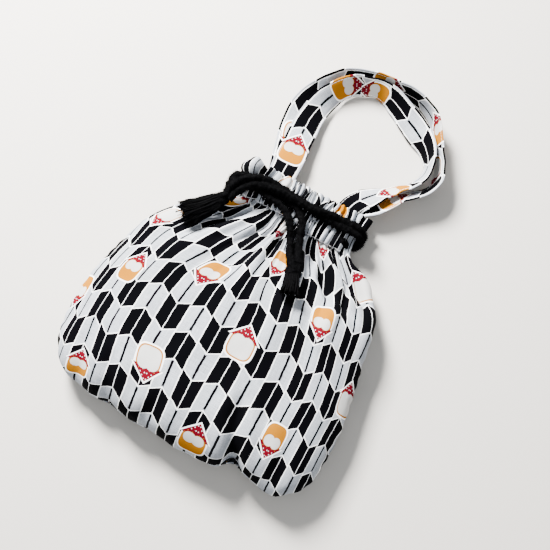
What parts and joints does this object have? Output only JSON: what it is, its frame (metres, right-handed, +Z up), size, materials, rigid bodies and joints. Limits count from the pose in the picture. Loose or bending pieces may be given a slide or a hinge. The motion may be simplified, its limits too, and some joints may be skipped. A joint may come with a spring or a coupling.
{
  "type": "kinchaku drawstring pouch",
  "caption": "Cotton drawstring pouch lying on its back, neck drawn in by crossed cords with tied ends, and a carrying handle of paired straps.",
  "frame": {"origin": "middle of the bounding box of the pouch and its handle on the table, the cords' free ends left out", "axes": "+Y from the bottom seam to the handle, +Z up out of the front panel, +X to the right as seen from above"},
  "size_m": [0.2371, 0.3562, 0.0564],
  "materials": {
    "printed_cotton": "plain-woven cotton with a black and white arrow-feather print and small ochre and red patches",
    "black_cord": "soft matt black cord"
  },
  "bodies": {
    "root": {"front_panel": "printed_cotton", "back_panel": "printed_cotton", "front_cord_channel": "printed_cotton", "back_cord_channel": "printed_cotton", "front_handle_strap": "printed_cotton", "back_handle_strap": "printed_cotton", "right_cord_in_channel": "black_cord", "right_cord_upper_strand": "black_cord", "right_cord_lower_strand": "black_cord", "right_cord_knot": "black_cord", "right_cord_tassel": "black_cord", "left_cord_in_channel": "black_cord", "left_cord_upper_strand": "black_cord", "left_cord_lower_strand": "black_cord", "left_cord_knot": "black_cord", "left_cord_tassel": "black_cord"}
  },
  "joints": []
}
